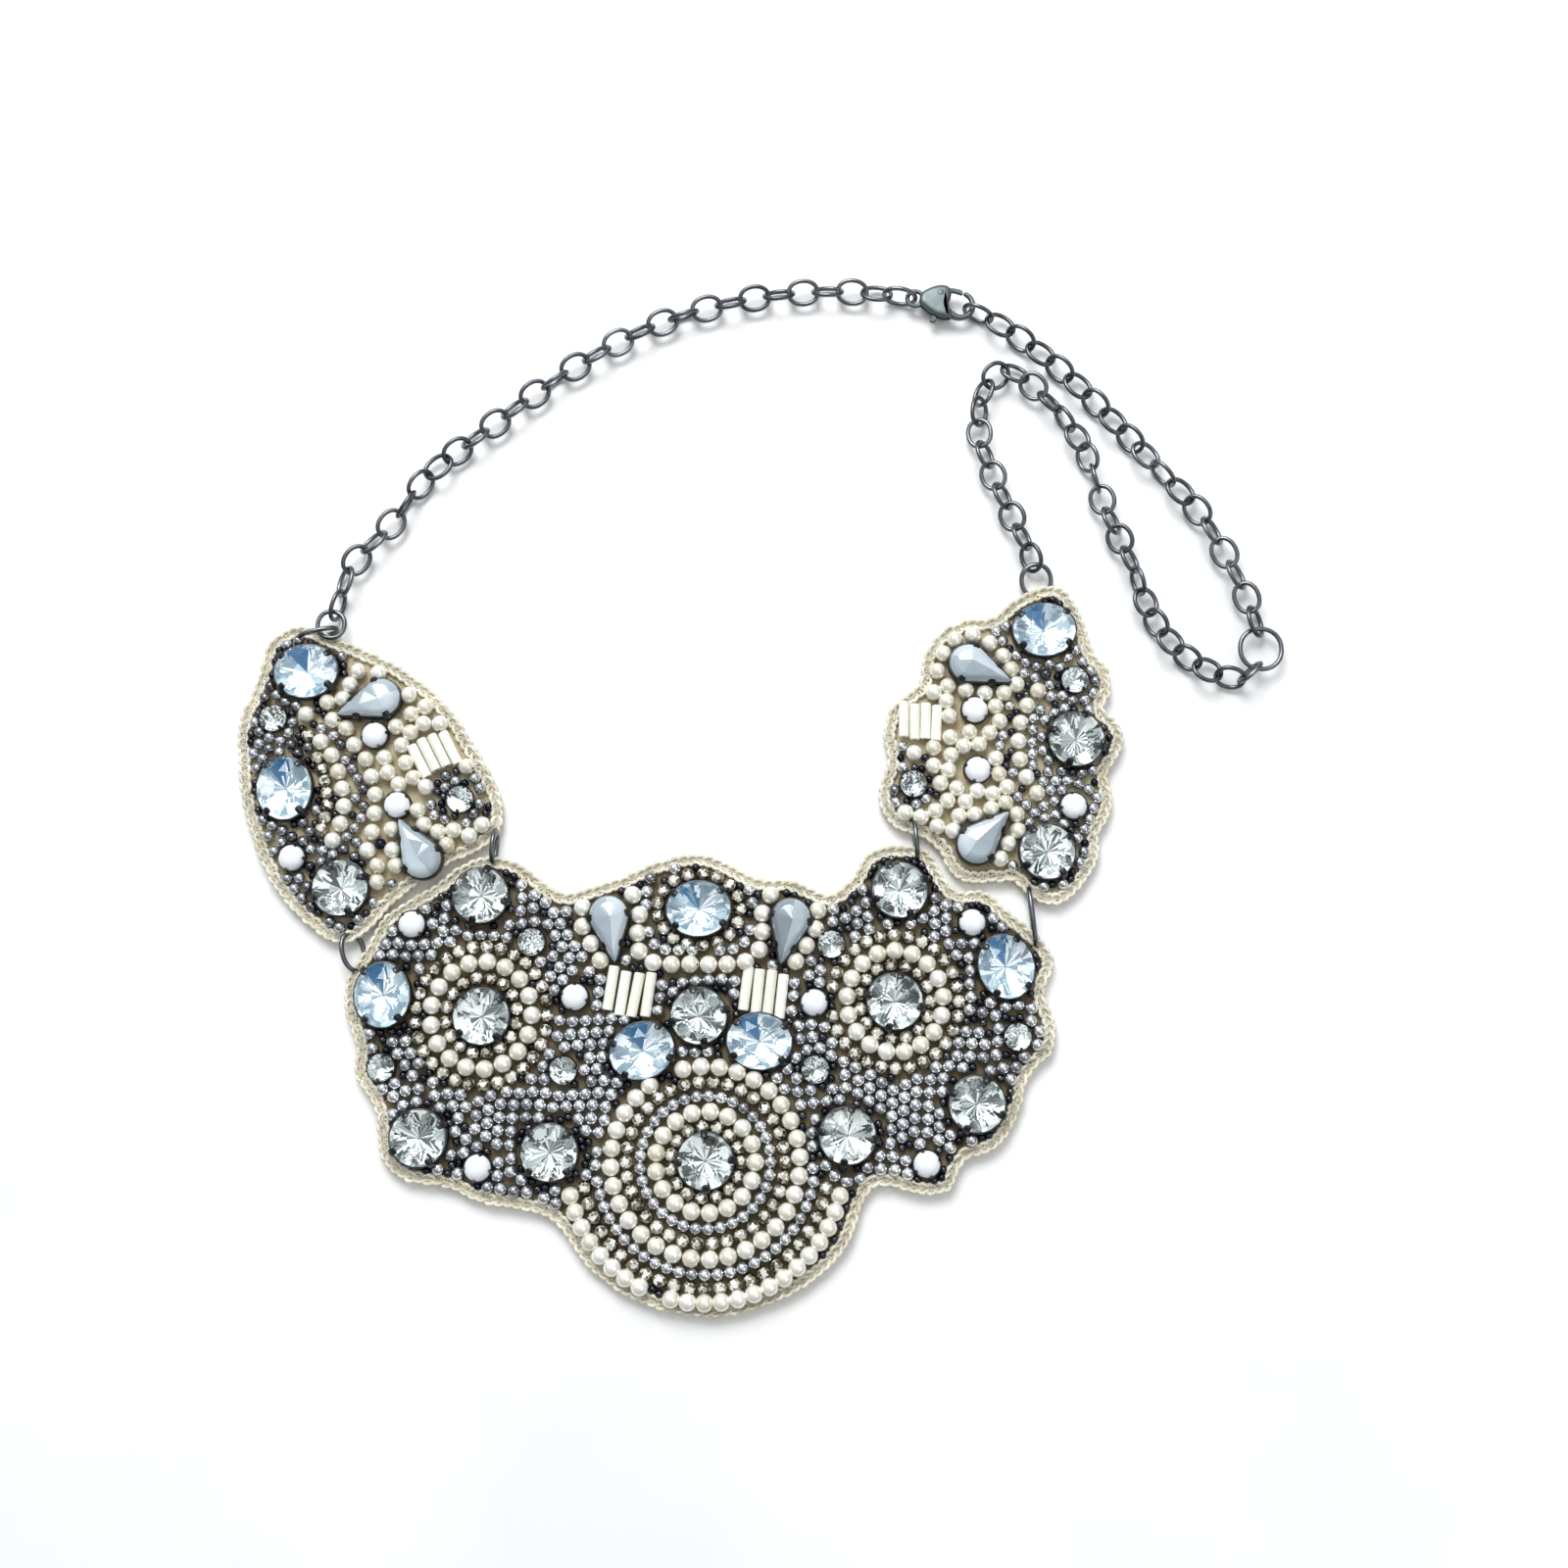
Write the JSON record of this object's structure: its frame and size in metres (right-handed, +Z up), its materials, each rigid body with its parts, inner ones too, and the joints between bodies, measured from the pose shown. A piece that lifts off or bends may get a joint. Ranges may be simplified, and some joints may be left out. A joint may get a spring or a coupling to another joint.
{
  "type": "bib necklace",
  "caption": "Bib necklace of beaded felt panels with claw-set crystals, joined by wire rings and worn on a dark cable chain with an extender and a lobster clasp.",
  "frame": {"origin": "middle of the necklace's outline, on the surface it lies on", "axes": "+Z up out of the beads, +Y towards the wearer's neck and the back of the chain, +X to the right as seen from above"},
  "size_m": [0.2324, 0.2319, 0.0079],
  "materials": {
    "felt": "matte felt",
    "yarn": "crocheted cotton",
    "beads": "silvery and pearl glazed beads",
    "setting": "gunmetal plating",
    "crystal": "faceted, foiled behind",
    "opal": "milky, large facets",
    "chain": "gunmetal plating",
    "clasp": "gunmetal plating"
  },
  "bodies": {
    "necklace": {"panel_left": "felt", "edging_left": "yarn", "beading_left": "beads", "settings_left": "setting", "stone_left_top": "crystal", "drop_left_upper": "opal", "stone_left_side": "crystal", "stone_left_bottom": "crystal", "drop_left_lower": "opal", "panel_right": "felt", "edging_right": "yarn", "beading_right": "beads", "settings_right": "setting", "stone_right_top": "crystal", "drop_right_upper": "opal", "stone_right_side": "crystal", "stone_right_bottom": "crystal", "drop_right_lower": "opal", "panel_centre": "felt", "edging_centre": "yarn", "beading_centre": "beads", "settings_centre": "setting", "stone_upper_left": "crystal", "stone_side_left": "crystal", "stone_circle_left": "crystal", "stone_lower_left": "crystal", "stone_lower_inner_left": "crystal", "stone_oval_left": "crystal", "drop_centre_left": "opal", "stone_top": "crystal", "stone_middle": "crystal", "stone_circle_bottom": "crystal", "stone_lower_inner_right": "crystal", "stone_oval_right": "crystal", "drop_centre_right": "opal", "stone_circle_right": "crystal", "stone_upper_right": "crystal", "stone_side_right": "crystal", "stone_lower_right": "crystal", "ring_inner_left": "chain", "ring_outer_left": "chain", "ring_inner_right": "chain", "ring_outer_right": "chain", "bail_left": "chain", "jump_ring_left": "chain", "jump_ring_right": "chain", "chain_left_lower": "chain", "chain_left_middle": "chain", "chain_left_upper": "chain", "extender_upper": "chain", "extender_lower": "chain", "chain_right_outer": "chain", "chain_right_middle": "chain", "chain_right_inner": "chain", "end_ring": "chain", "clasp_body": "clasp", "clasp_link": "chain"},
    "lever": {"clasp_lever": "clasp"}
  },
  "joints": [
    {"name": "lever_pivot", "type": "hinge", "parent": "necklace", "child": "lever", "pos_m": [0.04074, 0.11213, 0.0032], "axis": [0, 0, 1], "range_deg": [-18, 0], "stiffness_Nm_per_rad": 0.004}
  ]
}
